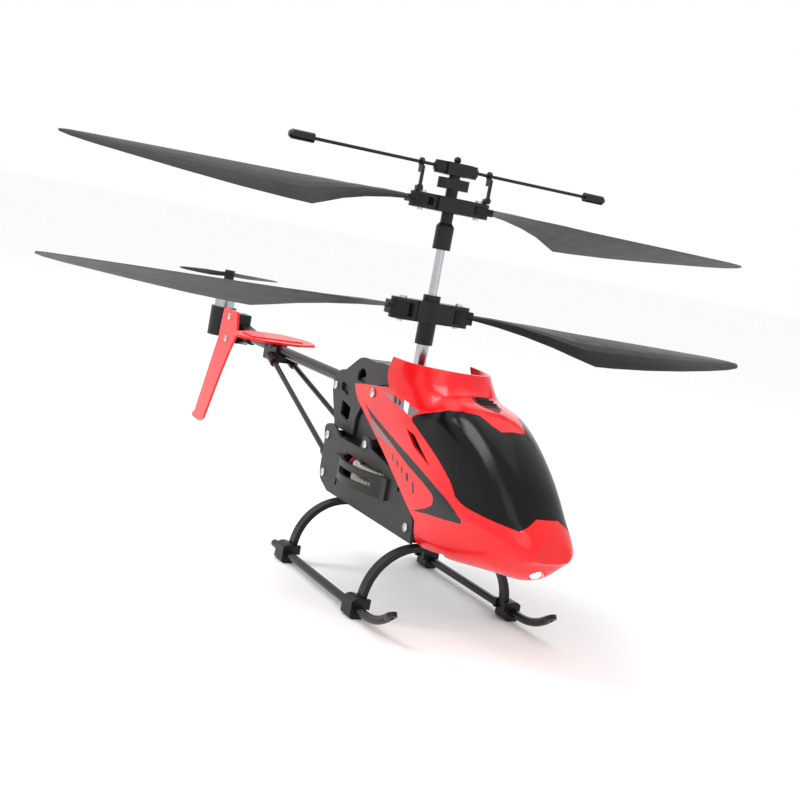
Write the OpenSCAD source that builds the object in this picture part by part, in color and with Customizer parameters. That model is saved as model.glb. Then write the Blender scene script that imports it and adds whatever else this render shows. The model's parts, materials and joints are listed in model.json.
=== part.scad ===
// Coaxial remote control helicopter with a tail rotor, a skid landing gear and a moulded canopy.
// X points to the nose, Y to port (left) and Z up. The origin lies on the ground, under the middle
// of the overall length. Dimensions along X are given from the rotor mast, and at_mast() places them.
// Millimetres.

/* [Mast] */
// Distance from the origin forward to the rotor mast
mast_x = 57; // [57:0.5:60]
// Diameter of the inner shaft, which carries the upper rotor
inner_shaft_d = 3.2; // [3:0.1:3.4]
// Diameter of the hollow outer shaft, which carries the lower rotor
outer_shaft_d = 4.7; // [4.5:0.1:5]
// Radial clearance of every shaft and pin that turns in a hole
run_gap = 0.05; // [0.03:0.01:0.08]

/* [Rotors] */
// Radius of both main rotors
rotor_r = 139; // [130:1:145]
// Turn of both main rotors about the mast at rest, in degrees
rotor_yaw = -3.5; // [-10:0.5:10]
// Height of the upper rotor
upper_z = 140.3; // [138:0.1:142]
// Height of the lower rotor
lower_z = 101.3; // [101:0.1:102]
// Distance from the mast to the pins on which the main blades fold
fold_r = 11.4; // [11.2:0.1:12]
// Widest chord of a main blade
blade_chord = 26; // [22:1:28]
// Height of the flybar
flybar_z = 153.3; // [152:0.1:155]
// Half length of the flybar, to the end of a weight
flybar_r = 64; // [50:1:75]
// Distance from the mast to the links between flybar and upper rotor
link_r = 13.8; // [13.7:0.1:14]

/* [Gears] */
// Tooth size of the gears
gear_module = 0.6; // [0.5:0.1:0.6]
// Teeth of each large gear
gear_teeth = 56; // [48:4:56]
// Teeth of each motor pinion
pinion_teeth = 8; // [8:1:10]

/* [Airframe] */
// Distance between the insides of the lower side plates
lower_inside = 25; // [24:0.5:26]
// Distance between the insides of the upper side plates
upper_inside = 17; // [16.6:0.2:17.4]
// Thickness of the side plates
plate_t = 1; // [0.8:0.1:1.2]
// Wall thickness of the canopy
canopy_wall = 1.1; // [0.9:0.1:1.3]

/* [Tail] */
// Height of the tail boom's centre line
boom_z = 65.8; // [64:0.1:67]
// Diameter of the tail boom
boom_d = 4.8; // [4:0.2:5]
// Distance from the mast back to the tail rotor's axis
tail_x = 208; // [208:0.5:210]
// Radius of the tail rotor
tail_rotor_r = 26.4; // [24:0.2:28]
// Height of the tail rotor
tail_rotor_z = 91.4; // [90:0.1:92]

/* [Landing gear] */
// Distance between the centre lines of the skids
track = 62; // [58:1:66]
// Diameter of a skid tube
skid_d = 3; // [2.6:0.1:3.2]
// Height of the skid tubes' centre lines
skid_z = 3.4; // [3.2:0.1:3.6]
// Distance from the mast back to the rear strut
rear_strut_x = 18.9; // [17:0.5:21]
// Distance from the mast forward to the front strut
front_strut_x = 40.5; // [39:0.5:42]

/* [Hidden] */
red = [0.86, 0.05, 0.06];
black = [0.08, 0.08, 0.09];
dark_grey = [0.22, 0.22, 0.23];
steel = [0.78, 0.79, 0.8];
brass = [0.8, 0.65, 0.3];
white = [0.95, 0.95, 0.92];
$fn = 48;

// heights of the lower frame
floor_z = 25.4;
floor_t = 2.2;
deck_z = 44;
tray_z = 31;
tray_t = 1.2;
socket_x = -24.6;
deck_t = 2.6;
gear_t = 2.6;
lower_gear_z = 39.4;
upper_gear_z = 35.2;
gear_pitch_r = gear_module * gear_teeth / 2;
pinion_pitch_r = gear_module * pinion_teeth / 2;
motor_x = gear_pitch_r + pinion_pitch_r + 0.12;
motor_shaft_d = 1.5;
// heights of the upper frame
bearing_z = 71;
bearing_t = 4;
mast_top_z = 154.2;
outer_top_z = 107.5;
outer_bore_d = inner_shaft_d + 2 * run_gap;
// rotor head
upper_grip_h = 5.4;
lower_grip_h = 7.6;
fork_t = 1.3;
fork_gap = 0.1;
lug_d = 7.4;
pin_d = 2;
teeter_pin_d = 1.4;
link_pin_d = 1;
flybar_rod_d = 1.2;
// screws
screw_head_d = 3.2;
screw_shank_d = 1.6;
screw_head_h = 1.1;
// landing gear
strut_r = 19.35;
strut_w = 3.8;
strut_t = 1.9;
clamp_d = 5.6;
clamp_l = 7;

// ---------- helpers ----------

module at_mast() translate([mast_x, 0, 0]) children();

module at_rotor() at_mast() rotate([0, 0, rotor_yaw]) children();

// a flat plate: its outline lies in X and Z, and it runs from y0 to y0 + t
module plate(y0, t) translate([0, y0 + t, 0]) rotate([90, 0, 0]) linear_extrude(t) children();

module box(low, high) translate(low) cube(high - low);

// a cylinder between two heights
module post(d, z0, z1, fn = 48) translate([0, 0, z0]) cylinder(d = d, h = z1 - z0, $fn = fn);

// a hole for a side screw, right across
module side_hole(x, z) translate([x, -30, z]) rotate([-90, 0, 0]) cylinder(d = screw_shank_d, h = 60);

module ring(d, bore, z0, z1) difference() {
    post(d, z0, z1);
    post(bore, z0 - 1, z1 + 1);
}

// points of a quadratic curve from a to c that leaves and arrives towards b
function bend(a, b, c, n = 6) = [for (i = [0:n]) let (t = i / n)
    (1 - t) * (1 - t) * a + 2 * t * (1 - t) * b + t * t * c];

// ---------- canopy surface ----------

// Each row is a station: distance from the mast, then half of its section as [half width, height]
// from the bottom centre over the cheek, the crease, the window line and the roof to the top centre.
canopy_rows = [
    [-18, [0, 60], [8, 60], [16.5, 60], [17.6, 62], [17.8, 65], [17.8, 71], [17.3, 84], [0, 104]],
    [-4, [0, 48], [10, 48], [17, 51], [17.8, 57], [17.9, 63], [17.7, 71], [17.3, 84], [0, 104]],
    [10, [0, 34], [11, 34], [17.2, 42], [18, 51], [18, 60], [17.7, 70], [17.2, 84], [0, 104]],
    [22, [0, 27], [12, 27], [17.5, 37], [18.2, 48], [18, 58], [17.5, 69], [15.8, 84], [0, 104]],
    [32, [0, 26], [12, 26], [17.5, 33], [18.3, 46], [18, 57.5], [17.3, 68], [11.2, 83], [0, 97]],
    [38, [0, 25.5], [12, 25.5], [17.5, 32], [18.3, 45], [17.8, 57], [17, 67.5], [9.5, 79.5], [0, 85]],
    [43, [0, 25.5], [12, 26], [17.3, 31], [18.3, 44], [17.6, 56], [16.8, 67], [10.5, 76.8], [0, 78.5]],
    [50, [0, 25.5], [12, 26.3], [17, 31], [18.2, 44], [17.2, 56], [16.3, 67], [11.5, 75.5], [0, 77]],
    [59, [0, 26], [11, 26.8], [16.5, 31], [17.9, 43.5], [16.5, 53], [15.4, 64], [11, 72.8], [0, 75.2]],
    [68, [0, 27], [10, 28], [15, 32], [17.4, 43], [15.6, 50], [14.3, 60], [10.2, 68.8], [0, 71.5]],
    [77, [0, 28], [8.5, 29.5], [13.2, 33], [16.6, 42.5], [14.5, 48.3], [13.2, 55.5], [9.5, 63], [0, 65.8]],
    [85, [0, 29], [7, 30.5], [11.5, 34], [14.8, 42.3], [12.8, 48], [11.6, 52], [8, 57.3], [0, 59.8]],
    [91, [0, 30.5], [5.5, 31.5], [10, 36.3], [12.9, 41.8], [10.4, 47.2], [9.3, 49.5], [6, 52.3], [0, 53.6]],
    [95.5, [0, 33.5], [5, 34.5], [9.2, 37.8], [10.8, 41.3], [9.2, 45], [8, 47], [5, 48.8], [0, 49.6]],
    [98.7, [0, 37.6], [4.5, 37.8], [7.6, 38.6], [8.8, 41], [8, 43.2], [6.6, 45], [4, 46.4], [0, 46.8]],
    [100.4, [0, 38.6], [3.4, 38.7], [5.8, 39.3], [6.6, 41], [6, 42.6], [5, 44], [3, 44.9], [0, 45.1]]
];
surface_steps = 3;

// a whole ring from a half section: the starboard points, then the port ones on the way back
function full_ring(row) = concat(
    [for (j = [1:8]) [row[0], -row[j][0], row[j][1]]],
    [for (j = [7:-1:2]) [row[0], row[j][0], row[j][1]]]);

// control points whose smooth surface passes through the given points
function sharpen_rows(p) = [for (i = [0:len(p) - 1]) i == 0 || i == len(p) - 1 ? p[i]
    : [for (j = [0:len(p[i]) - 1]) p[i][j] - (p[i - 1][j] - 2 * p[i][j] + p[i + 1][j]) / 6]];
function sharpen_ring(r) = let (n = len(r))
    [for (j = [0:n - 1]) r[j] - (r[(j + n - 1) % n] - 2 * r[j] + r[(j + 1) % n]) / 6];

function blend(t) = [(1 - t) ^ 3, 3 * t ^ 3 - 6 * t ^ 2 + 4, -3 * t ^ 3 + 3 * t ^ 2 + 3 * t + 1, t ^ 3] / 6;
function mix4(w, a, b, c, d) = w[0] * a + w[1] * b + w[2] * c + w[3] * d;

// rows of surface points, with surface_steps steps between stations
function smooth_rows(p) = let (
        n = len(p),
        c = concat([2 * p[0] - p[1]], p, [2 * p[n - 1] - p[n - 2]]),
        s = surface_steps)
    [for (i = [0:(n - 1) * s]) let (k = min(floor(i / s), n - 2), w = blend(i / s - k))
        mix4(w, c[k], c[k + 1], c[k + 2], c[k + 3])];
function smooth_ring(r) = let (n = len(r), s = surface_steps)
    [for (j = [0:n * s - 1]) let (k = floor(j / s), w = blend(j / s - k))
        mix4(w, r[(k + n - 1) % n], r[k], r[(k + 1) % n], r[(k + 2) % n])];

canopy_cage = sharpen_rows([for (row = canopy_rows) sharpen_ring(full_ring(row))]);
canopy_grid = [for (r = smooth_rows(canopy_cage)) smooth_ring(r)];

// the same surface moved inwards by t
function inset_grid(g, t) = let (n = len(g), m = len(g[0]))
    [for (i = [0:n - 1]) [for (j = [0:m - 1]) let (
        along = g[min(i + 1, n - 1)][j] - g[max(i - 1, 0)][j],
        around = g[i][(j + 1) % m] - g[i][(j + m - 1) % m],
        normal = cross(along, around))
        g[i][j] - t * normal / norm(normal)]];

// a ring of m points filled with strips that join its two sides
function cap(m) = concat(
    [[0, 1, m - 1]],
    [for (j = [1:m / 2 - 2], half = [0, 1]) half == 0 ? [j, j + 1, m - j - 1] : [j, m - j - 1, m - j]],
    [[m / 2 - 1, m / 2, m / 2 + 1]]);

// triangles that join n rings of m points and close both ends
function grid_faces(n, m) = concat(
    [for (i = [0:n - 2], j = [0:m - 1], half = [0, 1]) let (a = i * m + j, b = i * m + (j + 1) % m)
        half == 0 ? [a, b, b + m] : [a, b + m, a + m]],
    [for (t = cap(m)) [t[2], t[1], t[0]]],
    [for (t = cap(m)) t + (n - 1) * m * [1, 1, 1]]);

module grid_solid(g) polyhedron(
    points = [for (r = g) each r], faces = grid_faces(len(g), len(g[0])), convexity = 8);

// the canopy's wall, from depth t0 to depth t1 under the surface
module canopy_layer(t0, t1) difference() {
    if (t0 == 0) grid_solid(canopy_grid);
    else grid_solid(inset_grid(canopy_grid, t0));
    let (g = inset_grid(canopy_grid, t1)) grid_solid([for (i = [0:len(g) - 2]) g[i]]);
}

// what the canopy covers, seen from the side
module canopy_side() polygon(concat(
    [[9.6, 84.6]],
    bend([10.4, 80], [12, 75], [14.2, 74.2]),
    bend([7, 73.2], [-2, 72.2], [-9.5, 71]),
    bend([-12.5, 70.5], [-11.5, 66], [-5, 63.4]),
    bend([9, 56.4], [30, 46], [47, 35.4]),
    [[46, 20], [110, 20], [110, 85.2], [36, 84.9], [22, 84.4]]));

// half width of the hood over the windshield, from its root to its tip
hood_edge = [[26, 18.6], [31.4, 17.5], [34, 16.8], [37.2, 15.8], [41.2, 14.9], [45, 14.2], [50.4, 12.6],
    [54.4, 10.4], [57.6, 8], [64, 6.3], [67.5, 4.4]];

// the windshield's opening, grown by gap: a side view, less the hood and the nose bump
module windshield_region(gap) difference() {
    plate(-40, 80) offset(r = 1.5 + gap) offset(delta = -1.5) polygon(concat(
        bend([31.6, 66.6], [50, 60.6], [62, 52.8]),
        bend([66, 49.4], [70, 47.6], [76, 47.4]),
        [[96, 46.4], [96, 90], [60, 90]],
        bend([56, 77], [50, 76.4], [45, 74.6]),
        [[38, 72], [33, 69.8]]));
    translate([0, 0, 60]) linear_extrude(40) offset(r = 1 - gap) offset(delta = -1) polygon(
        [for (s = [-1, 1], p = s < 0 ? hood_edge : [for (i = [len(hood_edge) - 1:-1:0]) hood_edge[i]])
            [p[0], s * p[1]]]);
    translate([110, 0, 0]) rotate([90, 0, -90]) linear_extrude(40) offset(r = 1.5 - gap) offset(delta = -1.5)
        polygon([[-9.5, 40], [-9.5, 46.6], [-4, 50.6], [4, 50.6], [9.5, 46.6], [9.5, 40]]);
}

module canopy() color(red) at_mast() difference() {
    intersection() {
        canopy_layer(0, canopy_wall);
        plate(-30, 60) canopy_side();
    }
    windshield_region(0.12);
    // the belly is open behind the chin
    box([-30, -14.2, 20], [62, 14.2, 40]);
    // side vents
    plate(-30, 60) polygon([[30.5, 63.2], [36.5, 62.2], [50, 54.4], [38, 58.4]]);
    // lamp hole in the chin
    translate([88, 0, 36]) rotate([0, 115, 0]) cylinder(d = 5.4, h = 20);
    for (s = [-1, 1]) translate([3, s * 12, 70]) rotate([-90 * s, 0, 0]) cylinder(d = 2, h = 12);
}

module windshield() color(black) at_mast() intersection() {
    canopy_layer(0, canopy_wall);
    windshield_region(0);
}

module nose_lamp() color(white) at_mast() translate([88, 0, 36]) rotate([0, 115, 0]) {
    post(5, 0.6, 2.2);
    post(4, 0.6, 5.2);
    translate([0, 0, 5.2]) sphere(d = 4);
}

// ---------- side plates and frame ----------

module screw_hole(x, z) translate([x, z]) circle(d = screw_shank_d + 0.2);

module upper_plate_outline() difference() {
    polygon(concat(
        [[-40.5, 49], [-47.6, 62], [-48, 67], [-43.2, 71.2], [-39, 72]],
        bend([-30.4, 77.4], [-27, 79.6], [-21, 79]),
        bend([-15, 78.8], [-10, 80], [-3, 79.2]),
        bend([2, 78.6], [4, 76.8], [4, 74.6]),
        [[-12, 70.6], [-18, 66], [-24, 56], [-24, 49]]));
    offset(r = 0.5) offset(delta = -0.5) polygon([[-40.3, 63.9], [-40.3, 67], [-33.4, 66.4], [-33.4, 62.3]]);
    offset(r = 0.5) offset(delta = -0.5) polygon([[-37.5, 54.6], [-37.5, 60.2], [-29.5, 58.6], [-29.5, 52.8]]);
    translate([-24.7, 71.4]) intersection() {
        circle(d = 7);
        translate([-4, -1.6]) square([8, 6]);
    }
    screw_hole(-45, 64.6);
}

module lower_plate_outline() difference() {
    polygon(concat(
        bend([-39, 44], [-42.5, 49.4], [-37.5, 50.4]),
        bend([-34.5, 51], [-31, 50.8], [-28.4, 48.6]),
        [[-26, 47.4], [-8.4, 47.4]],
        bend([-7.4, 52.2], [-4.6, 53], [-2.2, 52]),
        [[0, 49], [26, 44.6], [38.5, 33], [39.4, 25.4], [-29.5, 25.4]],
        bend([-33, 27], [-38.4, 28], [-38.6, 33])));
    offset(r = 1) offset(delta = -1) polygon([[-19.4, 40], [-18, 43.2], [13.6, 43.2], [13.6, 34.7], [-19.4, 34.7]]);
    for (p = plate_screws) screw_hole(p[0], p[1]);
    translate([-24.6, 36]) square([1.2, 4]);
    translate([-23.6, 29.4]) square([1.2, 2.6]);
}
plate_screws = [[-36.4, 46], [-4.6, 49.4], [-35, 31.4], [34.8, 29.8], [25, 40.6]];

module upper_plate_right() color(dark_grey) at_mast()
    plate(-upper_inside / 2 - plate_t, plate_t) upper_plate_outline();
module upper_plate_left() color(dark_grey) at_mast()
    plate(upper_inside / 2, plate_t) upper_plate_outline();
module lower_plate_right() color(dark_grey) at_mast()
    plate(-lower_inside / 2 - plate_t, plate_t) lower_plate_outline();
module lower_plate_left() color(dark_grey) at_mast()
    plate(lower_inside / 2, plate_t) lower_plate_outline();

// floor of the lower frame, with bosses for the plate screws and the lower bush's seat
module chassis_floor() color(black) at_mast() difference() {
    union() {
        box([-29, -lower_inside / 2, floor_z], [38, lower_inside / 2, floor_z + floor_t]);
        post(8, floor_z, floor_z + floor_t + 1);
        for (p = [[-35, 31.4], [34.8, 29.8]]) plate(-lower_inside / 2, lower_inside)
            translate([p[0], p[1]]) circle(d = 5);
        box([-37, -lower_inside / 2, 30], [-33, lower_inside / 2, 43.6]);
        box([-35, -lower_inside / 2, floor_z + 0.8], [-28, lower_inside / 2, 31]);
        box([33, -lower_inside / 2, floor_z], [36.6, lower_inside / 2, 31]);
    }
    post(5, floor_z - 1, floor_z + floor_t + 2);
    side_hole(-35, 31.4);
    side_hole(34.8, 29.8);
    // slot for the power switch and hole for the charging socket
    box([19.8, -2.3, floor_z - 1], [28.2, 2.3, floor_z + floor_t + 1]);
    translate([socket_x, 0, 0]) box([-2.6, -3, floor_z - 1], [2.6, 3, floor_z + floor_t + 1]);
}

// deck that holds both motors and the middle bush
module motor_deck() color(black) at_mast() difference() {
    union() {
        difference() {
            box([-33, -lower_inside / 2, deck_z], [31, lower_inside / 2, deck_z + deck_t]);
            // it narrows in front, inside the canopy
            for (s = [-1, 1]) translate([32, s * 15, deck_z - 1]) rotate([0, 0, s * 25])
                translate([-14, -4, 0]) cube([20, 8, deck_t + 2]);
        }
        post(9, deck_z, deck_z + deck_t + 2.4);
        for (p = [[-36.4, 46], [-4.6, 49.4]]) plate(-lower_inside / 2, lower_inside)
            translate([p[0], p[1]]) circle(d = 4.6);
        box([-38, -lower_inside / 2, deck_z], [-32, lower_inside / 2, deck_z + deck_t]);
        for (s = [-1, 1]) box([-6.9, s > 0 ? 5 : -lower_inside / 2, deck_z], [-2.3, s > 0 ? lower_inside / 2 : -5, 49.4]);
        // cup around the rear motor
        box([-31.4, -8.4, deck_z], [-7, 8.4, 59.6]);
    }
    box([-30.2, -7.6, deck_z + deck_t], [-8.2, 7.6, 60]);
    post(7, deck_z - 1, deck_z + 12);
    side_hole(-36.4, 46);
    side_hole(-4.6, 49.4);
    for (s = [-1, 1]) translate([s * motor_x, 0, 0]) post(6.6, deck_z - 1, deck_z + deck_t + 1);
}

// block between the upper plates: boom socket, motor cover and top bearing
module top_frame() color(black) at_mast() difference() {
    union() {
        plate(-upper_inside / 2, upper_inside) difference() {
            polygon(concat(
                [[-46.5, 60], [-47, 66.6], [-42.8, 70.6], [-38.6, 71.4]],
                bend([-30.2, 77], [-26.8, 79.4], [-21, 78.8]),
                bend([-15, 78.6], [-10, 79.8], [-5, 79]),
                [[4, 76], [7, 75], [7, bearing_z], [-12, bearing_z], [-24, 69.4], [-31, 67.6], [-36, 60]]));
            offset(r = 1.5) offset(delta = -1.5) polygon([[-31, 69.4], [-30, 73.6], [-25, 76.2], [-15, 75.4], [-12, 74], [-24, 71.8]]);
        }
        box([-44, -upper_inside / 2, 52], [-40, upper_inside / 2, 61]);
        // posts that carry the canopy
        for (s = [-1, 1]) translate([3, s * 16.4, 70]) rotate([90 * s, 0, 0]) post(4.4, 0, 12);
        translate([-49, 0, boom_z]) rotate([0, 90, 0]) cylinder(d = 9, h = 12);
    }
    post(7, bearing_z - 2, 90);
    translate([-55, 0, boom_z]) rotate([0, 90, 0]) cylinder(d = boom_d, h = 19);
    side_hole(-45, 64.6);
    for (s = [-1, 1]) translate([3, s * 17.9, 70]) rotate([-90 * s, 0, 0]) post(screw_shank_d, -6, 2);
}

// bowed guards over the windows of the lower plates, where the large gears stand out
guard_r = 30;
guard_low_z = 34.4;
guard_top_z = 42.2;
guard_slot_z = 38.5;
module gear_guards() color(dark_grey) at_mast() for (s = [-1, 1]) mirror([0, s < 0 ? 1 : 0, 0])
    translate([-3, lower_inside / 2 + plate_t - 23.4, 0]) difference() {
        union() {
            ring(2 * guard_r, 2 * guard_r - 2.6, guard_low_z, guard_top_z);
            box([-22.6, 23.4, guard_low_z], [-17, 24.6, guard_top_z - 1]);
            box([17, 23.4, guard_low_z], [21, 24.6, guard_top_z]);
        }
        box([-40, -40, 20], [40, 23.4, 60]);
        post(2 * guard_r - 2.6, 20, 60);
        // long slot with round ends
        box([-8, 20, guard_slot_z - 1.4], [12, 40, guard_slot_z + 1.4]);
        for (x = [-8, 12]) translate([x, 20, guard_slot_z]) rotate([-90, 0, 0]) cylinder(d = 2.8, h = 20);
    }

// plain bearings of both shafts
module shaft_bushes() color(brass) at_mast() {
    ring(5, inner_shaft_d + 2 * run_gap, floor_z + 0.2, floor_z + floor_t + 1.4);
    ring(7, outer_shaft_d + 2 * run_gap, deck_z, deck_z + deck_t + 2.8);
    ring(7, outer_shaft_d + 2 * run_gap, bearing_z - 0.4, bearing_z + bearing_t + 0.6);
}

// one drive motor: a can with two flat sides, a front boss and two terminals
module motor(x) color(steel) at_mast() translate([x, 0, 0]) difference() {
    union() {
        intersection() {
            post(20, deck_z + deck_t + 0.1, deck_z + deck_t + 20);
            box([-12, -7.6, 0], [12, 7.6, 90]);
        }
        post(6, deck_z, deck_z + deck_t + 1);
        for (s = [-1, 1]) box([-1, s * 4.6 - 0.3, 66], [1, s * 4.6 + 0.3, 69]);
    }
    post(motor_shaft_d + 2 * run_gap, deck_z - 1, deck_z + 8);
}
module motor_front() motor(motor_x);
module motor_rear() motor(-motor_x);

// ---------- gears ----------

// a tooth's outline: its width at the root, at the pitch circle and at the tip
module gear_outline(teeth, slim) {
    pitch_r = gear_module * teeth / 2;
    root_r = pitch_r - 1.25 * gear_module;
    tip_r = pitch_r + 0.85 * gear_module;
    pitch_w = PI * gear_module / 2 - slim;
    circle(r = root_r + 0.02, $fn = teeth * 2);
    for (i = [0:teeth - 1]) rotate(i * 360 / teeth) polygon([
        [root_r - 0.3, -pitch_w * 0.72], [pitch_r, -pitch_w / 2], [tip_r, -pitch_w * 0.22],
        [tip_r, pitch_w * 0.22], [pitch_r, pitch_w / 2], [root_r - 0.3, pitch_w * 0.72]]);
}

module large_gear(z, bore, turn) difference() {
    union() {
        translate([0, 0, z]) rotate([0, 0, turn]) linear_extrude(gear_t) gear_outline(gear_teeth, 0.2);
        post(9, z - 0.3, z + gear_t + 0.3);
    }
    post(bore, z - 2, z + gear_t + 2);
    for (a = [0:60:300]) rotate([0, 0, a]) translate([9.6, 0, z - 1]) cylinder(d = 5.6, h = gear_t + 2);
    difference() {
        post(2 * gear_pitch_r - 4, z + gear_t - 0.7, z + gear_t + 0.7);
        post(9, z, z + gear_t + 2);
    }
}

// the upper rotor's gear meets the rear pinion, the lower rotor's gear the front one
module upper_gear() color(white) at_mast() large_gear(upper_gear_z, inner_shaft_d, 0);
module lower_gear() color(white) at_mast() large_gear(lower_gear_z, outer_shaft_d, 0);

module pinion(x, z, turn) color(brass) at_mast() translate([x, 0, 0]) {
    translate([0, 0, z]) rotate([0, 0, turn]) linear_extrude(gear_t + 0.6) gear_outline(pinion_teeth, 0.3);
    post(motor_shaft_d, z, deck_z + 6);
}
module pinion_front() pinion(motor_x, lower_gear_z, 180 / pinion_teeth);
module pinion_rear() pinion(-motor_x, upper_gear_z, 180 / pinion_teeth);

// ---------- electrics ----------

module battery_tray() color(black) at_mast() difference() {
    union() {
        box([37.4, -9.5, tray_z], [61.8, 9.5, tray_z + tray_t]);
        box([37.4, -9.5, tray_z], [38.6, 9.5, tray_z + 6]);
        for (s = [-1, 1]) box([39.4, s * 9.1 - 0.4, tray_z], [61.8, s * 9.1 + 0.4, tray_z + 4]);
        box([37.4, -8, floor_z + floor_t], [38.5, 8, tray_z + 1]);
    }
    for (x = [47, 56]) translate([x, 0, 25]) cylinder(d = 6, h = 8);
}

module battery() color("silver") at_mast() translate([0, 0, tray_z + tray_t]) difference() {
    box([39.4, -8.5, 0], [61, 8.5, 10]);
    for (s = [-1, 1], z = [0, 10]) translate([30, s * 8.5, z]) rotate([45, 0, 0]) cube([100, 2, 2], center = true);
}

module circuit_board() color([0.1, 0.35, 0.2]) at_mast() {
    difference() {
        box([33, -11, 47], [62, 11, 48.2]);
        for (s = [-1, 1]) translate([36, s * 9, 40]) cylinder(d = 1.6, h = 20);
    }
    box([40, -4, 48.2], [48, 4, 49.6]);
    box([52, 2, 48.2], [57, 7, 50.4]);
    box([52, -8, 48.2], [60, -2, 49.4]);
    // the legs stand on the battery tray's rear wall and side rails
    for (x = [40, 58], s = [-1, 1]) box([x, s * 9.1 - 0.4, tray_z + 4], [x + 2, s * 9.1 + 0.4, 47]);
}

module switch_body() color("silver") at_mast() difference() {
    box([19, -3, floor_z + floor_t], [29, 3, floor_z + floor_t + 2.6]);
    box([20, -1.9, floor_z], [28, 1.9, floor_z + floor_t + 1.6]);
}
module switch_slider() color(black) at_mast() {
    box([20.6, -1.7, floor_z + floor_t + 0.2], [25.2, 1.7, floor_z + floor_t + 1.4]);
    box([21.8, -1.4, floor_z - 0.8], [24, 1.4, floor_z + floor_t + 0.2]);
}

// socket for the charging plug, with its bore in the underside
module charge_socket() color(white) at_mast() difference() {
    translate([socket_x, 0, 0]) box([-2.6, -3, floor_z - 0.4], [2.6, 3, floor_z + floor_t + 2]);
    translate([socket_x, 0, 0]) post(2.4, floor_z - 1, floor_z + 3);
}

// a wire along a list of points
module wire(d, points) for (i = [0:len(points) - 2]) hull() {
    translate(points[i]) sphere(d = d, $fn = 8);
    translate(points[i + 1]) sphere(d = d, $fn = 8);
}
lead_points = [[-16, -9.6, 43.5], [-15.8, -11.2, 42.2], [-17, -11.8, 40.4], [-18.8, -11.4, 38.4],
    [-21, -9.6, 36], [-23.6, -6.6, 32.4], [-24.6, -2.6, 30.15]];
module wire_leads() color([0.9, 0.3, 0.3]) at_mast() {
    wire(1, lead_points);
    wire(1, [for (p = lead_points) p + [1.4, 0.6, 0]]);
}

// ---------- tail ----------

module along_x(d, x0, x1, z) translate([x0, 0, z]) rotate([0, 90, 0]) cylinder(d = d, h = x1 - x0);

module tail_boom() color(black) at_mast() difference() {
    along_x(boom_d, -176, -36, boom_z);
    along_x(boom_d - 1.2, -177, -35, boom_z);
}

rod_rear = [-125, 4.4, 62];
rod_front = [-37, 10.4, 35.6];
rod_length = norm(rod_front - rod_rear);

// places children along a support rod, starting at its rear end
module along_rod(side) mirror([0, side < 0 ? 1 : 0, 0]) translate(rod_rear) rotate([
    0,
    acos((rod_front - rod_rear)[2] / rod_length),
    atan2((rod_front - rod_rear)[1], (rod_front - rod_rear)[0])]) children();

module support_rods() color(black) at_mast() difference() {
    for (s = [-1, 1]) along_rod(s) {
        post(2.4, -2, rod_length + 1);
        post(3.8, rod_length - 8, rod_length + 1.4);
    }
    box([-37, -30, 20], [-20, 30, 60]);
}

// saddle under the boom, with sleeves for both rods and posts for the stabiliser
module boom_clamp() color(black) at_mast() difference() {
    union() {
        box([-138, -3.7, 60.4], [-124, 3.7, 67.2]);
        for (s = [-1, 1]) along_rod(s) post(4.2, -3, 4.6);
        for (x = [-136.4, -130], s = [-1, 1]) translate([x, s * 3.1, 66]) post(2, 0, x > -134 ? 2.5 : 3);
    }
    along_x(boom_d, -150, -110, boom_z);
    for (s = [-1, 1]) along_rod(s) post(2.4, -2, 9);
}

// bracket at the boom's end: a socket, a tapered arm and the tail motor's sleeve
module tail_bracket() color(black) at_mast() difference() {
    union() {
        along_x(7, -178, -163, boom_z);
        plate(-3, 6) polygon([[-163, 63.2], [-178, 60.6], [-203, 60.4], [-203, 72], [-186, 72.6], [-176, 70.4], [-163, 68.6]]);
        box([-186, -5.2, 60.6], [-176, 3, 63.4]);
        box([-186, -5.2, 69.6], [-176, 3, 75]);
        translate([-tail_x, 0, 0]) post(12.8, 60.4, 75);
    }
    along_x(boom_d, -176, -150, boom_z);
    translate([-tail_x, 0, 0]) post(10, 62, 90);
    for (z = [62, 73]) translate([-181, -6, z]) rotate([-90, 0, 0]) cylinder(d = screw_shank_d, h = 7);
}

module tail_motor() color(steel) at_mast() translate([-tail_x, 0, 0]) difference() {
    union() {
        post(10, 62, 82.6);
        post(4, 82.6, 84);
    }
    post(1.2 + 2 * run_gap, 70, 90);
}
module tail_shaft() color(steel) at_mast() translate([-tail_x, 0, 0]) post(1.2, 71, tail_rotor_z + 0.8);

module tail_rotor() color(black) at_mast() translate([-tail_x, 0, tail_rotor_z]) difference() {
    union() {
        post(5, -2.4, 2.4);
        for (a = [0, 180]) rotate([0, 0, a]) small_blade();
    }
    post(1.2, -4, 4);
}

// a tail rotor blade along +Y: stations of distance, leading edge, trailing edge, pitch and thickness
small_rows = [[1, 1.6, -1.6, 24, 1.4], [5, 2.2, -2.2, 24, 1.1], [11, 3.4, -3.2, 20, 0.8],
    [18, 3.2, -3, 16, 0.7], [24, 2.2, -2.2, 13, 0.6], [tail_rotor_r, 0.8, -0.8, 12, 0.4]];
module small_blade() loft_blade(small_rows);

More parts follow.
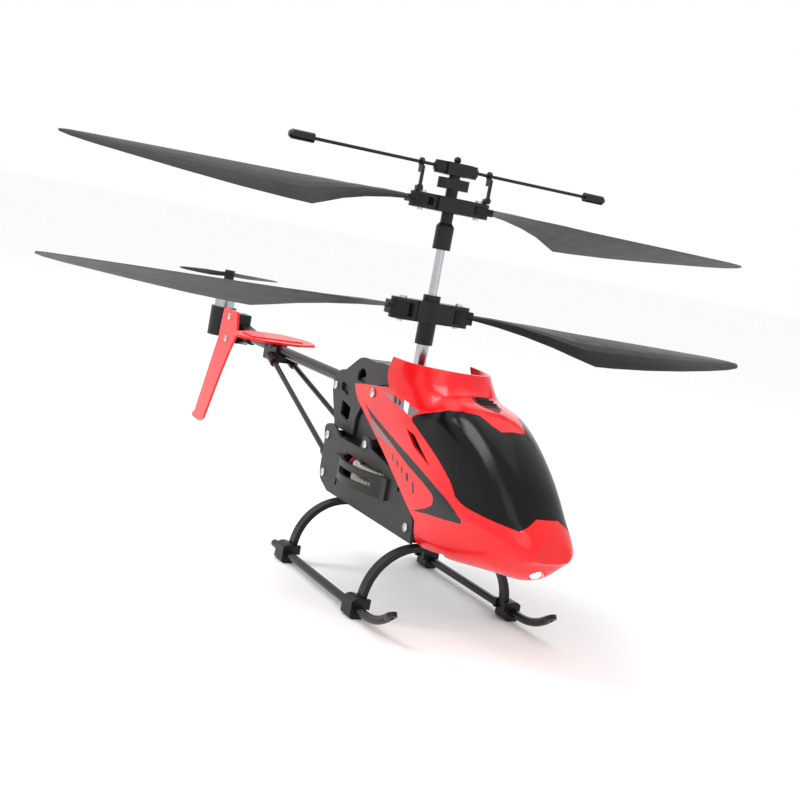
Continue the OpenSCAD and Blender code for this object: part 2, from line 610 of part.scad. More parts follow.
// a blade's section: a thin lens with its camber upwards, turned by the pitch
lens_steps = 5;
function lens(row) = let (
        lead = row[1], trail = row[2], p = row[3], t = row[4], n = lens_steps,
        half = concat(
            [for (i = [0:n]) let (s = i / n) [lead + (trail - lead) * s, t * 0.5 * sin(180 * s) + t * 0.6 * sin(180 * s)]],
            [for (i = [n - 1:-1:1]) let (s = i / n) [lead + (trail - lead) * s, -t * 0.5 * sin(180 * s) + t * 0.6 * sin(180 * s) - 0.1]]))
    [for (q = half) [q[0] * cos(p) - q[1] * sin(p), row[0], q[0] * sin(p) + q[1] * cos(p)]];
module loft_blade(rows) let (g = [for (r = rows) lens(r)])
    polyhedron(points = [for (r = g) each r], faces = grid_faces(len(g), len(g[0])), convexity = 4);

module vertical_fin() color(red) at_mast() difference() {
    plate(-6.4, 1.2) offset(r = 1.5) offset(delta = -1.5) polygon(concat(
        bend([-190, 76.4], [-191.6, 70], [-192, 62]),
        [[-209.4, 19.6], [-214.4, 18.4], [-213.6, 16.4], [-200, 16.2]],
        bend([-195.6, 18.6], [-180, 50], [-173, 60]),
        bend([-169, 66], [-170, 72], [-172.4, 76.4])));
    for (z = [62, 73]) translate([-181, -10, z]) rotate([-90, 0, 0]) cylinder(d = screw_shank_d + 0.2, h = 12);
}

module stabiliser() color(red) at_mast() translate([-131, 0, 68.7]) rotate([0, 5, 0]) {
    linear_extrude(1.1) offset(r = 1.2) offset(delta = -1.2) polygon(concat(
        [[5, -9], [5, 8]], bend([1, 18], [-6, 20], [-10, 15]),
        bend([-15, 8], [-16, 0], [-15, -8]), bend([-10, -17], [-6, -21], [0, -19.5])));
    translate([0, 0, 1]) linear_extrude(0.5) polygon([[0, -13], [0, 12], [-8, 13], [-12, 4], [-12, -6], [-8, -15]]);
}

// ---------- screws ----------

module screw(length) {
    difference() {
        intersection() {
            post(screw_head_d, 0, screw_head_h);
            translate([0, 0, screw_head_h - 2.4]) sphere(d = 4.8);
        }
        box([-1, -0.25, 0.6], [1, 0.25, 2]);
        box([-0.25, -1, 0.6], [0.25, 1, 2]);
    }
    post(screw_shank_d, -length, 0);
}

// a screw on the side named by s, with its head's seat at y
module side_screw(s, x, y, z, length) translate([x, s * y, z]) rotate([-90 * s, 0, 0]) screw(length);

module body_screws() color(steel) at_mast() for (s = [-1, 1]) {
    for (p = [[-36.4, 46], [-4.6, 49.4], [-35, 31.4], [34.8, 29.8]])
        side_screw(s, p[0], lower_inside / 2 + plate_t, p[1], 5);
    side_screw(s, -45, upper_inside / 2 + plate_t, 64.6, 4);
    translate([3, s * 18.3, 70]) rotate([-90 * s, 0, 0]) screw(5.8);
}

module tail_screws() color(steel) at_mast() {
    for (z = [62, 73]) side_screw(-1, -181, 6.4, z, 3.2);
}

// ---------- landing gear ----------

tip_r = 26;
tip_angle = 34;
skid_rear_x = -29.6;
skid_bend_x = 49;

// a skid: a straight tube with a rounded rear end, a bent-up toe and a flattened, pierced tip
module skid(side) color(black) at_mast() translate([0, side * track / 2, skid_z]) {
    translate([skid_rear_x, 0, 0]) rotate([0, 90, 0]) cylinder(d = skid_d, h = skid_bend_x - skid_rear_x);
    translate([skid_rear_x, 0, 0]) sphere(d = skid_d);
    translate([skid_bend_x, 0, tip_r]) rotate([90, 0, 0]) rotate([0, 0, -90])
        rotate_extrude(angle = tip_angle, $fn = 96) translate([tip_r, 0]) circle(d = skid_d, $fn = 48);
    translate([skid_bend_x + tip_r * sin(tip_angle), 0, tip_r * (1 - cos(tip_angle))]) rotate([0, -tip_angle, 0])
        difference() {
            hull() {
                translate([0.2, 0, 0]) sphere(d = skid_d, $fn = 24);
                translate([3, 0, 0]) cylinder(d = 3.6, h = 1.6, center = true, $fn = 24);
            }
            translate([3, 0, -3]) cylinder(d = 1.2, h = 6);
        }
}
module skid_left() skid(1);
module skid_right() skid(-1);

strut_in = 2.4;
strut_foot_z = skid_z + 1.7;
strut_top_z = strut_foot_z + strut_r;
strut_top_y = track / 2 - strut_in - strut_r;

// an arched strut: two quarter bends joined by a bar that is screwed under the floor
module strut(x) color(black) at_mast() translate([x, 0, 0]) {
    for (s = [-1, 1]) translate([0, s * strut_top_y, strut_foot_z]) rotate([90, 0, 90])
        rotate([0, 0, s > 0 ? 0 : 90]) rotate_extrude(angle = 90, $fn = 96)
            translate([strut_r - strut_t / 2, -strut_w / 2]) square([strut_t, strut_w]);
    box([-strut_w / 2, -strut_top_y, strut_top_z - strut_t / 2], [strut_w / 2, strut_top_y, strut_top_z + strut_t / 2]);
    box([-strut_w / 2, -8, strut_top_z], [strut_w / 2, 8, x > 0 ? tray_z : floor_z]);
}
module strut_front() strut(front_strut_x);
module strut_rear() strut(-rear_strut_x);

// sleeves that hold the skids to the struts, flat underneath
module skid_clamps() color(black) at_mast()
    for (x = [-rear_strut_x, front_strut_x], s = [-1, 1]) translate([x, s * track / 2, 0]) difference() {
        union() {
            intersection() {
                along_x(clamp_d + 2, -clamp_l / 2, clamp_l / 2, skid_z);
                box([-clamp_l / 2, -clamp_d / 2, 0], [clamp_l / 2, clamp_d / 2, 10]);
            }
            for (e = [-1, 1]) box([e * 2.9 - 0.7, -s * 2.6 - 1.6, skid_z], [e * 2.9 + 0.7, -s * 2.6 + 1.6, skid_z + 3.4]);
        }
        along_x(skid_d, -clamp_l, clamp_l, skid_z);
        translate([0, -s * strut_in, 0]) box([-strut_w / 2, -strut_t / 2, strut_foot_z], [strut_w / 2, strut_t / 2, 12]);
    }

// ---------- rotor mast and head ----------

module inner_shaft() color(steel) at_mast() post(inner_shaft_d, floor_z + 0.4, mast_top_z - 4);

module outer_shaft() color(steel) at_mast() ring(outer_shaft_d, outer_bore_d, lower_gear_z - 0.3, outer_top_z - 1);

module upper_collar() color(black) at_mast() difference() {
    union() {
        post(6.6, 124.2, 132.6);
        translate([0, 0, 132.6]) cylinder(d1 = 6.6, d2 = 4.8, h = 1.2);
    }
    post(inner_shaft_d, 120, 140);
}

// head on the inner shaft: a neck, the stop bar and the flybar's tongue, with both teeter pins
module rotor_head() color(black) at_rotor() difference() {
    union() {
        post(4.4, 133.8, 150);
        rounded_bar(6.1, 4.4, 3.8, 147.8);
        post(4, 149.8, mast_top_z);
        teeter_pin(5, upper_z);
        teeter_pin(3.6, flybar_z - 1);
    }
    post(inner_shaft_d, 130, mast_top_z - 4);
}

// a pin across the rotor's head, reaching half to either side
module teeter_pin(half, z) translate([-half, 0, z]) rotate([0, 90, 0]) cylinder(d = teeter_pin_d, h = 2 * half);
module teeter_hole(z) translate([-10, 0, z]) rotate([0, 90, 0])
    cylinder(d = teeter_pin_d + 2 * run_gap, h = 20);

// a bar along Y with round ends and its middle at height z
module rounded_bar(half, w, h, z) {
    box([-w / 2, -half + w / 2, z - h / 2], [w / 2, half - w / 2, z + h / 2]);
    for (s = [-1, 1]) translate([0, s * (half - w / 2), z - h / 2]) cylinder(d = w, h = h);
}

// the bar that carries two blades in its forks, cut round to turn on the fold pins
module blade_bar(h, z) difference() {
    rounded_bar(fold_r + 4.2, 8, h, z);
    for (s = [-1, 1]) translate([0, s * fold_r, z - h / 2 + fork_t]) {
        cylinder(d = lug_d + 0.6, h = h - 2 * fork_t);
        box([-8, s > 0 ? 0 : -12, 0], [8, s > 0 ? 12 : 0, h - 2 * fork_t]);
        for (a = [-75, 75]) rotate([0, 0, a]) box([-4, s > 0 ? 0 : -12, 0], [4, s > 0 ? 12 : 0, h - 2 * fork_t]);
    }
    for (s = [-1, 1]) translate([0, s * fold_r, z - 8]) cylinder(d = pin_d, h = 16);
}

module upper_grip() color(black) at_rotor() difference() {
    union() {
        blade_bar(upper_grip_h, upper_z);
        box([-5, -6.6, upper_z - upper_grip_h / 2], [5, 6.6, upper_z + upper_grip_h / 2]);
        for (s = [-1, 1]) box([-0.8, s * link_r - 0.6, upper_z + 2], [0.8, s * link_r + 0.6, link_low_z + 0.6]);
        for (s = [-1, 1]) translate([-0.8, s * link_r, link_low_z]) rotate([0, 90, 0]) cylinder(d = link_pin_d, h = 3.4);
    }
    box([-3.1, -3.8, upper_z - 5], [3.1, 3.8, upper_z + 5]);
    teeter_hole(upper_z);
}

// the screws on which two blades fold
module fold_pins(h, z) for (s = [-1, 1]) translate([0, s * fold_r, z]) {
    post(pin_d, -h / 2 - 0.8, h / 2 + 0.4);
    post(2.8, h / 2, h / 2 + 0.9);
}
module upper_pins() color(steel) at_rotor() fold_pins(upper_grip_h, upper_z);
module lower_pins() color(steel) at_rotor() fold_pins(lower_grip_h, lower_z);

module flybar_hub() color(black) at_rotor() difference() {
    union() {
        rounded_bar(8.8, 5.6, 2.6, 153.1);
        rounded_bar(8.4, 4.6, 4.4, 153.1);
        box([-3.7, -4.8, 150.9], [3.7, 4.8, 155.3]);
        post(1.6, 155, 156);
        translate([0, 0, 156.4]) sphere(d = 2.6);
    }
    box([-2.3, -4, 140], [2.3, 4, 154.8]);
    teeter_hole(flybar_z - 1);
    for (s = [-1, 1]) translate([0, s * 4.9, flybar_z]) rotate([-90 * s, 0, 0]) cylinder(d = flybar_rod_d, h = 10);
}

module flybar_rods() color(black) at_rotor() for (s = [-1, 1])
    translate([0, s * 4.9, flybar_z]) rotate([-90 * s, 0, 0]) cylinder(d = flybar_rod_d, h = flybar_r - 6.5);

module flybar_weights() color(black) at_rotor() for (s = [-1, 1])
    translate([0, s * (flybar_r - 9), flybar_z]) rotate([-90 * s, 0, 0]) difference() {
        union() {
            post(3.4, 0, 8);
            translate([0, 0, 8]) cylinder(d1 = 3.4, d2 = 2, h = 1);
        }
        post(flybar_rod_d, -1, 7.4);
    }

// a link: an eye on the flybar's rod, a thin strip and an eye on the grip's pin
link_low_z = upper_z + upper_grip_h / 2 + 1.4;
module link(s) color(black) at_rotor() difference() {
    union() {
        translate([0, s * link_r - 0.5, flybar_z]) rotate([-90, 0, 0]) cylinder(d = 3.2, h = 1);
        box([-0.8, s * link_r - 0.5, flybar_z - 3.6], [2.5, s * link_r + 0.5, flybar_z - 1.2]);
        box([1.5, s * link_r - 0.5, link_low_z + 0.6], [2.5, s * link_r + 0.5, flybar_z - 3]);
        translate([1.5, s * link_r, link_low_z]) rotate([0, 90, 0]) cylinder(d = 2.4, h = 1);
    }
    translate([0, s * link_r - 2, flybar_z]) rotate([-90, 0, 0]) cylinder(d = flybar_rod_d + 0.5, h = 4);
    translate([-1, s * link_r, link_low_z]) rotate([0, 90, 0]) cylinder(d = link_pin_d + 2 * run_gap, h = 6);
}
module link_left() link(1);
module link_right() link(-1);

// a main blade along +Y: stations of distance, leading edge, trailing edge, pitch and thickness
blade_rows = [
    [fold_r + 3.2, 3, -3, 5, 1], [fold_r + 7, 3.2, -3.6, 10, 1.2], [26, 3.4, -5.4, 15, 1.35],
    [36, 3, -9.2, 18.5, 1.4], [46, 2.6, -14.4, 20.5, 1.3], [54, 2, -0.77 * blade_chord, 21.5, 1.25],
    [60, 1.6, -0.94 * blade_chord, 21.5, 1.2], [68, 1.4, -24.2, 21, 1.15], [84, 1, -22.6, 20, 1.1],
    [102, 0.6, -20, 18, 1], [118, 0, -16.6, 16, 0.9], [129, -0.4, -13.2, 15, 0.8],
    [136, -1.6, -10, 14, 0.7], [rotor_r, -4, -7, 13.5, 0.5]
];
module main_blade(lug_h) difference() {
    union() {
        loft_blade(blade_rows);
        translate([0, fold_r, 0]) post(lug_d, -lug_h / 2, lug_h / 2);
        box([-2.6, fold_r, -lug_h / 2], [2.6, fold_r + 5.4, lug_h / 2]);
    }
    translate([0, fold_r, 0]) post(pin_d + 2 * run_gap, -6, 6);
}
upper_lug_h = upper_grip_h - 2 * fork_t - 2 * fork_gap;
lower_lug_h = lower_grip_h - 2 * fork_t - 2 * fork_gap;
module upper_blade(turn) color(black) at_rotor() translate([0, 0, upper_z]) rotate([0, 0, turn]) main_blade(upper_lug_h);
module lower_blade(turn) color(black) at_rotor() translate([0, 0, lower_z]) rotate([0, 0, turn]) mirror([1, 0, 0])
    main_blade(lower_lug_h);
module upper_blade_left() upper_blade(0);
module upper_blade_right() upper_blade(180);
module lower_blade_left() lower_blade(0);
module lower_blade_right() lower_blade(180);

module lower_hub() color(black) at_rotor() difference() {
    union() {
        post(10, lower_z - lower_grip_h / 2, lower_z + lower_grip_h / 2);
        post(6.4, 104, outer_top_z);
        blade_bar(lower_grip_h, lower_z);
        box([-4.4, -6.6, lower_z - lower_grip_h / 2], [4.4, 6.6, lower_z + lower_grip_h / 2]);
    }
    post(outer_shaft_d, 90, outer_top_z - 1);
    post(outer_bore_d + 0.4, 90, 120);
}

module lower_collar() color(black) at_mast() ring(6.6, outer_shaft_d, 89.4, lower_z - lower_grip_h / 2);

chassis_floor();
motor_deck();
top_frame();
upper_plate_left();
upper_plate_right();
lower_plate_left();
lower_plate_right();
gear_guards();
shaft_bushes();
motor_front();
motor_rear();
body_screws();
canopy();
windshield();
nose_lamp();
battery();
battery_tray();
circuit_board();
switch_body();
switch_slider();
charge_socket();
wire_leads();
tail_boom();
boom_clamp();
support_rods();
tail_bracket();
tail_motor();
tail_shaft();
tail_rotor();
vertical_fin();
stabiliser();
tail_screws();
skid_left();
skid_right();
skid_clamps();
strut_front();
strut_rear();
inner_shaft();
upper_gear();
upper_collar();
rotor_head();
upper_grip();
upper_pins();
upper_blade_left();
upper_blade_right();
flybar_hub();
flybar_rods();
flybar_weights();
link_left();
link_right();
outer_shaft();
lower_gear();
lower_hub();
lower_collar();
lower_pins();
lower_blade_left();
lower_blade_right();
pinion_front();
pinion_rear();
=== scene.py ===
import json
import math
import bpy
from mathutils import Matrix, Vector


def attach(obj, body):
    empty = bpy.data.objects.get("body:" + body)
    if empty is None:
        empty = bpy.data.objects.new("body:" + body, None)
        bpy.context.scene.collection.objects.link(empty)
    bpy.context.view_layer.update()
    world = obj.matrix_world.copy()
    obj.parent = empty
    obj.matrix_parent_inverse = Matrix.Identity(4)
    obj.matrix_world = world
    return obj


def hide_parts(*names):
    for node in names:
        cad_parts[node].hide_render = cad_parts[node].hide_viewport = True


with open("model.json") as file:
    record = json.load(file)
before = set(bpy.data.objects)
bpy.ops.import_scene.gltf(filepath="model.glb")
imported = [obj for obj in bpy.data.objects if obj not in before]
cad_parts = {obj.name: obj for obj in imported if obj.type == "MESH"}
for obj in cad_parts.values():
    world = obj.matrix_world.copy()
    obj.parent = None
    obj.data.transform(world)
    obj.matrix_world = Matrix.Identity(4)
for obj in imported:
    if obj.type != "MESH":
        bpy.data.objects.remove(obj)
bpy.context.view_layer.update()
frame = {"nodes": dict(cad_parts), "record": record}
mastX = 0.057  # the rotor mast stands this far ahead of the origin
millimetre = 0.001
print("frame loaded:", len(frame["nodes"]), "nodes")

# camera and studio light
camera = {
    "place": (0.4469, -0.2239, 0.1258),
    "lens": 55.64,
    "sensor": 36,
    "right": (0.46033371, 0.86895161, 0.18170297),
    "up": (-0.19943524, -0.09822098, 0.97497601),
    "back": (0.86505402, -0.4850523, 0.12808515),
}
middle = (0, 0, 0.08)
lamps = {
    "keyPanel": {"place": (0.35, -0.75, 0.62), "aim": middle, "size": 0.5, "power": 1.0},
    "topPanel": {"place": (-0.1, 0.1, 1.1), "aim": middle, "size": 0.6, "power": 0.8},
    "rearPanel": {"place": (-0.7, 0.6, 0.5), "aim": middle, "size": 0.5, "power": 0.6},
    "nosePanel": {"place": (0.95, 0.25, 0.3), "aim": middle, "size": 0.5, "power": 0.4},
    "sheenPanel": {"place": (-0.12, -0.42, 0.57), "aim": (0.13, 0, 0.06), "size": 0.32, "power": 2.4},
}


def aimCamera(look):
    data = bpy.data.cameras.new("view")
    data.lens, data.sensor_width = look["lens"], look["sensor"]
    data.clip_start, data.clip_end = 0.01, 100
    eye = bpy.data.objects.new("view", data)
    bpy.context.scene.collection.objects.link(eye)
    turn = Matrix((look["right"], look["up"], look["back"])).transposed().to_4x4()
    eye.matrix_world = Matrix.Translation(look["place"]) @ turn
    bpy.context.scene.camera = eye


def hangLamp(name, look):
    data = bpy.data.lights.new(name, "AREA")
    data.size, data.energy = look["size"], look["power"]
    lamp = bpy.data.objects.new(name, data)
    bpy.context.scene.collection.objects.link(lamp)
    lamp.location = look["place"]
    lamp.rotation_euler = (Vector(look["aim"]) - Vector(look["place"])).to_track_quat("-Z", "Y").to_euler()


def lightRoom(strength):
    world = bpy.data.worlds.new("softRoom")
    world.use_nodes = True
    world.node_tree.nodes["Background"].inputs["Color"].default_value = (1, 1, 1, 1)
    world.node_tree.nodes["Background"].inputs["Strength"].default_value = strength
    bpy.context.scene.world = world


# selecting and applying, as each step by hand begins and ends
def deselectAll():
    if bpy.context.object and bpy.context.object.mode != "OBJECT":
        bpy.ops.object.mode_set(mode="OBJECT")
    bpy.ops.object.select_all(action="DESELECT")


def choose(piece):
    deselectAll()
    piece.select_set(True)
    bpy.context.view_layer.objects.active = piece


def addBlock(place, size):
    deselectAll()
    bpy.ops.mesh.primitive_cube_add(size=1, location=place)
    block = bpy.context.object
    block.scale = size
    bpy.ops.object.transform_apply(location=True, rotation=True, scale=True)
    return block


# finishes: grain and bumpGrain are waves per metre, bump is in metres, dark is the darker patches' share
finishes = {
    "red_plastic": {
        "color": (0.78, 0.003, 0.007), "dark": 0.93, "grain": 60, "rough": (0.18, 0.24),
        "coat": 0.15, "shine": 0.35, "bump": 0.00002, "bumpGrain": 500},
    "dark_glass": {
        "color": (0.0015, 0.0015, 0.002), "dark": 0.8, "grain": 40, "rough": (0.16, 0.2),
        "shine": 0.2, "bump": 0.00001, "bumpGrain": 300},
    "frame_grey": {
        "color": (0.032, 0.030, 0.029), "dark": 0.8, "grain": 220, "rough": (0.42, 0.55),
        "shine": 0.3, "bump": 0.00003, "bumpGrain": 2600},
    "black_plastic": {
        "color": (0.007, 0.007, 0.0075), "dark": 0.75, "grain": 240, "rough": (0.32, 0.45),
        "shine": 0.3, "bump": 0.00002, "bumpGrain": 2200},
    "rotor_black": {
        "color": (0.007, 0.007, 0.008), "dark": 0.75, "grain": 90, "rough": (0.36, 0.5),
        "shine": 0.25, "bump": 0.00002, "bumpGrain": 1400},
    "black_tube": {
        "color": (0.006, 0.006, 0.007), "dark": 0.8, "grain": 160, "rough": (0.2, 0.3),
        "shine": 0.35, "bump": 0.00001, "bumpGrain": 900},
    "chrome_shaft": {
        "color": (0.5, 0.51, 0.53), "dark": 0.9, "grain": 300, "rough": (0.12, 0.2),
        "metal": 1, "bump": 0.00001, "bumpGrain": 1500},
    "motor_can": {
        "color": (0.45, 0.45, 0.46), "dark": 0.85, "grain": 260, "rough": (0.22, 0.34),
        "metal": 1, "bump": 0.00001, "bumpGrain": 1800},
    "screw_steel": {
        "color": (0.68, 0.68, 0.69), "dark": 0.85, "grain": 500, "rough": (0.2, 0.3),
        "metal": 1, "bump": 0.00001, "bumpGrain": 2000},
    "gear_nylon": {
        "color": (0.78, 0.76, 0.7), "dark": 0.92, "grain": 200, "rough": (0.35, 0.45),
        "bump": 0.00002, "bumpGrain": 1500},
    "brass": {
        "color": (0.7, 0.48, 0.2), "dark": 0.8, "grain": 400, "rough": (0.2, 0.35),
        "metal": 1, "bump": 0.00001, "bumpGrain": 1800},
    "battery_foil": {
        "color": (0.5, 0.53, 0.58), "dark": 0.8, "grain": 120, "rough": (0.25, 0.4),
        "metal": 0.8, "bump": 0.00008, "bumpGrain": 400},
    "board_green": {
        "color": (0.012, 0.13, 0.05), "dark": 0.6, "grain": 400, "rough": (0.25, 0.4),
        "bump": 0.00004, "bumpGrain": 1200},
    "switch_metal": {
        "color": (0.55, 0.55, 0.56), "dark": 0.85, "grain": 300, "rough": (0.25, 0.4),
        "metal": 1, "bump": 0.00001, "bumpGrain": 1500},
    "socket_white": {
        "color": (0.75, 0.74, 0.7), "dark": 0.9, "grain": 200, "rough": (0.25, 0.35),
        "bump": 0.00001, "bumpGrain": 1500},
    "lamp_clear": {
        "color": (0.9, 0.93, 1.0), "dark": 0.95, "grain": 300, "rough": (0.05, 0.1),
        "glow": 9.0, "bump": 0.00001, "bumpGrain": 900},
    "wire_pink": {
        "color": (0.62, 0.09, 0.11), "dark": 0.8, "grain": 300, "rough": (0.35, 0.5),
        "bump": 0.00002, "bumpGrain": 1500},
    "stripeBlack": {
        "color": (0.007, 0.008, 0.01), "dark": 0.8, "grain": 120, "rough": (0.2, 0.28),
        "coat": 0.1, "shine": 0.25, "bump": 0.00001, "bumpGrain": 700},
    "stripeGrey": {
        "color": (0.17, 0.15, 0.155), "dark": 0.85, "grain": 120, "rough": (0.25, 0.33),
        "coat": 0.3, "bump": 0.00001, "bumpGrain": 700},
    # white paint for a small patch on the shoulder behind the windshield
    "shoulderWhite": {
        "color": (0.85, 0.84, 0.83), "dark": 0.95, "grain": 120, "rough": (0.2, 0.28),
        "coat": 0.3, "bump": 0.00001, "bumpGrain": 700},
    # painted shade: a darker copy of the red plastic for the hood intake's recess, where shade falls
    "intakePaintedShade": {
        "color": (0.12, 0.004, 0.006), "dark": 0.4, "grain": 700, "rough": (0.4, 0.6),
        "bump": 0.00015, "bumpGrain": 900},
    "studioFloor": {
        "color": (0.96, 0.96, 0.96), "dark": 0.995, "grain": 3, "rough": (0.7, 0.8),
        "bump": 0.00001, "bumpGrain": 20},
}
coatRoughness = 0.06
bumpStrength = 0.6
roughGrain = 2.3  # gloss varies in finer patches than colour


def makeFinish(name, look):
    material = bpy.data.materials.new(name)
    material.use_nodes = True
    nodes, links = material.node_tree.nodes, material.node_tree.links
    shader = nodes["Principled BSDF"]
    place = nodes.new("ShaderNodeTexCoord")

    def noise(scale, detail):
        node = nodes.new("ShaderNodeTexNoise")
        node.inputs["Scale"].default_value = scale
        node.inputs["Detail"].default_value = detail
        links.new(place.outputs["Object"], node.inputs["Vector"])
        return node.outputs["Fac"]

    tone = nodes.new("ShaderNodeValToRGB")  # lighter and darker patches of one colour
    low, high = tone.color_ramp.elements
    low.position, high.position = 0.3, 0.7
    low.color = [look["dark"] * c for c in look["color"]] + [1]
    high.color = list(look["color"]) + [1]
    links.new(noise(look["grain"], 3), tone.inputs["Fac"])
    links.new(tone.outputs["Color"], shader.inputs["Base Color"])
    spread = nodes.new("ShaderNodeMapRange")
    spread.inputs["To Min"].default_value, spread.inputs["To Max"].default_value = look["rough"]
    links.new(noise(look["grain"] * roughGrain, 4), spread.inputs["Value"])
    links.new(spread.outputs["Result"], shader.inputs["Roughness"])
    bump = nodes.new("ShaderNodeBump")
    bump.inputs["Distance"].default_value = look["bump"]
    bump.inputs["Strength"].default_value = bumpStrength
    links.new(noise(look["bumpGrain"], 2), bump.inputs["Height"])
    links.new(bump.outputs["Normal"], shader.inputs["Normal"])
    shader.inputs["Metallic"].default_value = look.get("metal", 0)
    shader.inputs["Coat Weight"].default_value = look.get("coat", 0)
    shader.inputs["Specular IOR Level"].default_value = look.get("shine", 0.5)
    shader.inputs["Coat Roughness"].default_value = coatRoughness
    if "glow" in look:
        shader.inputs["Emission Color"].default_value = (1, 1, 1, 1)
        shader.inputs["Emission Strength"].default_value = look["glow"]
    return material


made = {name: makeFinish(name, look) for name, look in finishes.items()}
for part in frame["record"]["subparts"]:
    for slot in frame["nodes"][part["node"]].material_slots:
        slot.material = made[part["material_slot"]]
print("finishes made:", len(made))


# canopy and windshield: smooth copies of the moulded shells
def smoothCopy(node, name, crease, slotNames):
    piece = bpy.data.objects.new(name, frame["nodes"][node].data.copy())
    bpy.context.scene.collection.objects.link(piece)
    piece.data.materials.clear()
    for slotName in slotNames:
        piece.data.materials.append(made[slotName])
    for face in piece.data.polygons:
        face.material_index = 0
    choose(piece)
    bpy.ops.object.mode_set(mode="EDIT")
    bpy.ops.mesh.select_all(action="SELECT")
    bpy.ops.mesh.remove_doubles(threshold=0.000002)
    bpy.ops.mesh.customdata_custom_splitnormals_clear()
    bpy.ops.object.mode_set(mode="OBJECT")
    bpy.ops.object.shade_smooth_by_angle(angle=math.radians(crease))
    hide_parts(node)
    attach(piece, "airframe")
    return piece


def inOutline(u, v, outline):
    inside = False
    for (u0, v0), (u1, v1) in zip(outline, outline[1:] + outline[:1]):
        if (v0 > v) != (v1 > v) and u < (u1 - u0) * (v - v0) / (v1 - v0) + u0:
            inside = not inside
    return inside


# outer faces look away from the middle when seen from the side, and up when seen from above
def facesOut(face, across):
    away = face.center[1] if across == 1 else 1
    return face.normal[across] * away > 0 and abs(face.normal[across]) > 0.15


# cuts the outer faces along an outline seen from the side (across 1) or above (across 2), then paints inside it
def paintOutline(piece, outline, index, across):
    up = 2 if across == 1 else 1
    mesh = piece.data
    margin = 0.0001
    outline = [(u * millimetre + mastX, v * millimetre) for u, v in outline]
    for (u0, v0), (u1, v1) in zip(outline, outline[1:] + outline[:1]):
        low = (min(u0, u1) - margin, min(v0, v1) - margin)
        high = (max(u0, u1) + margin, max(v0, v1) + margin)
        mesh.vertices.foreach_set("select", [False] * len(mesh.vertices))
        mesh.edges.foreach_set("select", [False] * len(mesh.edges))
        for face in mesh.polygons:
            spots = [mesh.vertices[i].co for i in face.vertices]
            alongX = max(s[0] for s in spots) > low[0] and min(s[0] for s in spots) < high[0]
            alongUp = max(s[up] for s in spots) > low[1] and min(s[up] for s in spots) < high[1]
            face.select = facesOut(face, across) and alongX and alongUp
        normal = [v0 - v1, 0, 0]
        normal[up] = u1 - u0
        spot = [u0, 0, 0]
        spot[up] = v0
        choose(piece)
        bpy.ops.object.mode_set(mode="EDIT")
        bpy.ops.mesh.select_mode(type="FACE")
        bpy.ops.mesh.bisect(plane_co=spot, plane_no=normal, threshold=0.000001)
        bpy.ops.object.mode_set(mode="OBJECT")
    for face in mesh.polygons:
        if facesOut(face, across) and inOutline(face.center[0], face.center[up], outline):
            face.material_index = index


# outlines in millimetres ahead of the mast and above the ground; the intake's second number is to port
canopyPaint = {
    "slots": ["red_plastic", "stripeBlack", "stripeGrey", "shoulderWhite", "intakePaintedShade"],
    "crease": 32,
    "rearGrey": [(4.5, 60.7), (10.5, 59), (20.6, 56.4), (24.7, 54.4), (11.5, 56.8), (5.4, 58.8)],
    "swoosh": [
        (-3, 65.2), (2.9, 63.4), (9.3, 61.6), (20.6, 58.6), (35.5, 55), (48.8, 51.4), (62.7, 47.3),
        (71.6, 43.8), (73.2, 42.2), (65.4, 41.1), (54.4, 39.9), (44.8, 38.5), (52.3, 41.3), (55.7, 43.2),
        (56.1, 45.3), (54.1, 46.8), (48.4, 48.7), (37, 51.6), (24.2, 55.5), (10.5, 59.5), (4.5, 61.2)],
    "upperGrey": [(9.9, 71.8), (18.7, 71.6), (29.7, 70.6), (34.6, 70.3), (31.6, 67.9), (29.8, 67.4), (19.9, 69.6)],
    "bars": [(24, 53.2, 2.2), (28, 51.9, 2.2), (32, 50.6, 2.3), (36.2, 49.4, 2.5), (41, 47.6, 3.4)],  # x, z, height
    "marks": [(18, 71.9), (21, 71.5)],
    "shoulderWhitePatch": [(24.4, 72), (27.6, 71.4), (28.8, 67.8), (26, 68.6)],
    "intake": [(44, -3.2), (48, -4.4), (53, -3.6), (57, 0), (53, 3.6), (48, 4.4), (44, 3.2)],
}


def paintCanopy(look):
    shell = smoothCopy("canopy", "canopyShell", look["crease"], look["slots"])
    paintOutline(shell, look["rearGrey"], 2, 1)
    paintOutline(shell, look["swoosh"], 1, 1)
    paintOutline(shell, look["upperGrey"], 2, 1)
    for x, z, tall in look["bars"]:
        lean = tall * 0.5
        bar = [(x, z), (x + 1.5, z - 0.5), (x + 1.5 + lean, z - 0.5 - tall), (x + lean, z - tall)]
        paintOutline(shell, bar, 1, 1)
    for x, z in look["marks"]:
        paintOutline(shell, [(x, z + 0.5), (x + 1.6, z + 0.3), (x + 2.4, z - 2), (x + 0.8, z - 1.8)], 1, 1)
    # a small white patch painted on the shoulder behind the windshield
    paintOutline(shell, look["shoulderWhitePatch"], 3, 1)
    # the hood intake's recess, seen from above, is painted darker red as painted shade
    paintOutline(shell, look["intake"], 4, 2)
    print("canopy painted:", len(shell.data.polygons), "faces")


paintCanopy(canopyPaint)

# slats standing in the hood's intake, in millimetres
intakeSlats = {
    "from": 45.5, "step": 2.2, "thick": 0.45, "deep": 1.2, "bevel": 0.15,
    "long": (5.0, 6.4, 6.6, 5.0, 2.6),
    "high": (78.15, 77.8, 77.2, 76.35, 75.45),
}


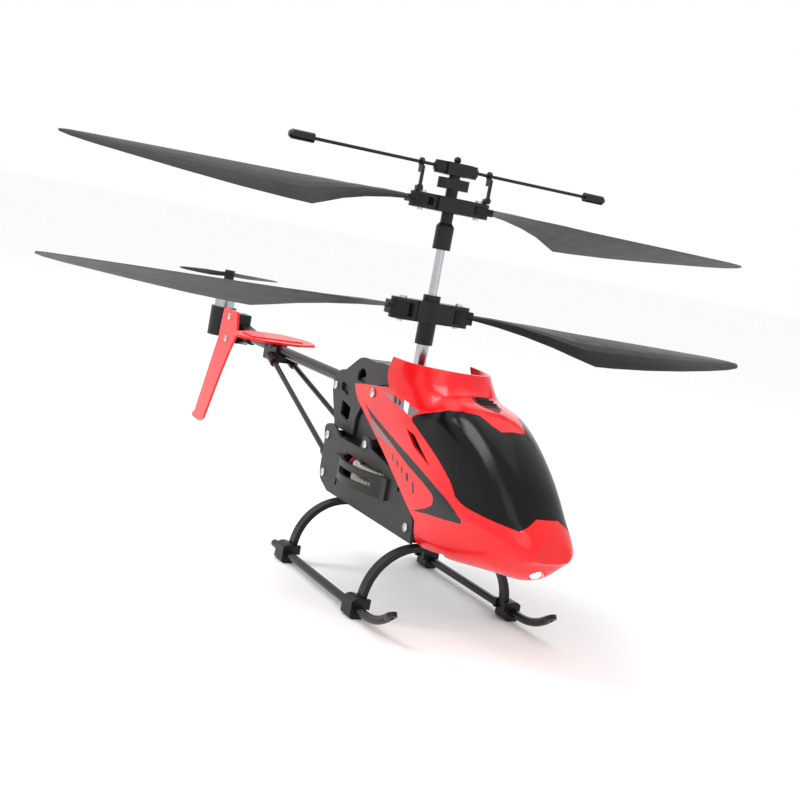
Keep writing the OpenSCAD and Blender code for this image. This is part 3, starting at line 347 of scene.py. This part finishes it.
def makeSlats(look):
    strips = []
    for i, (long, high) in enumerate(zip(look["long"], look["high"])):
        place = (mastX + (look["from"] + i * look["step"]) * millimetre, 0, high * millimetre)
        strip = addBlock(place, (look["thick"] * millimetre, long * millimetre, look["deep"] * millimetre))
        bpy.ops.object.mode_set(mode="EDIT")
        bpy.ops.mesh.select_all(action="SELECT")
        bpy.ops.mesh.bevel(offset=look["bevel"] * millimetre, segments=2, affect="EDGES")
        bpy.ops.object.mode_set(mode="OBJECT")
        strips.append(strip)
    deselectAll()
    for strip in strips:
        strip.select_set(True)
    bpy.context.view_layer.objects.active = strips[0]
    bpy.ops.object.join()
    slats = bpy.context.object
    slats.name = "intakeSlats"
    slats.data.materials.append(made["black_plastic"])
    bpy.ops.object.shade_smooth_by_angle(angle=math.radians(40))
    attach(slats, "airframe")


makeSlats(intakeSlats)
print("intake slats made:", len(intakeSlats["long"]))

# shallow trays that close the side vents from inside, black sheets that give painted shade where the vents show
# only shade within; in millimetres from the origin
ventShadeTray = {
    "middle": (96.5, 16.1, 59.2), "long": 20.5, "high": 6.4, "deep": 1.2, "tilt": 27.5, "lip": 0.5, "sunk": 0.6,
}


def makeVentShadeTray(look, side, name):
    x, y, z = look["middle"]
    place = Vector((x, side * y, z)) * millimetre
    shadeTray = addBlock(place, (look["long"] * millimetre, look["deep"] * millimetre, look["high"] * millimetre))
    shadeTray.name = name
    for face in shadeTray.data.polygons:
        face.select = face.normal.y * side > 0.9
    bpy.ops.object.mode_set(mode="EDIT")
    bpy.ops.mesh.select_mode(type="FACE")
    bpy.ops.mesh.inset(thickness=look["lip"] * millimetre)
    sink = (0, -side * look["sunk"] * millimetre, 0)
    bpy.ops.mesh.extrude_region_move(TRANSFORM_OT_translate={"value": sink})
    bpy.ops.mesh.select_all(action="SELECT")
    bpy.ops.transform.rotate(value=-math.radians(look["tilt"]), orient_axis="Y", center_override=place)
    bpy.ops.mesh.normals_make_consistent(inside=False)
    bpy.ops.object.mode_set(mode="OBJECT")
    shadeTray.data.materials.append(made["black_plastic"])
    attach(shadeTray, "airframe")


# the black trays put painted shade into both side vents
makeVentShadeTray(ventShadeTray, -1, "ventShadeTrayRight")
makeVentShadeTray(ventShadeTray, 1, "ventShadeTrayLeft")
print("vent trays made")

glass = smoothCopy("windshield", "windshieldShell", canopyPaint["crease"], ["dark_glass"])
print("windshield made")

# floor, lamps and camera
floorDisc = {"radius": 25, "sides": 96}
roomStrength = 1.0


def layFloor(look):
    deselectAll()
    bpy.ops.mesh.primitive_circle_add(radius=look["radius"], vertices=look["sides"], fill_type="NGON")
    disc = bpy.context.object
    disc.name = "studioFloor"
    disc.data.materials.append(made["studioFloor"])


layFloor(floorDisc)
for name, look in lamps.items():
    hangLamp(name, look)
aimCamera(camera)
lightRoom(roomStrength)
bpy.context.scene.view_settings.view_transform = "Standard"
deselectAll()
print("scene ready")
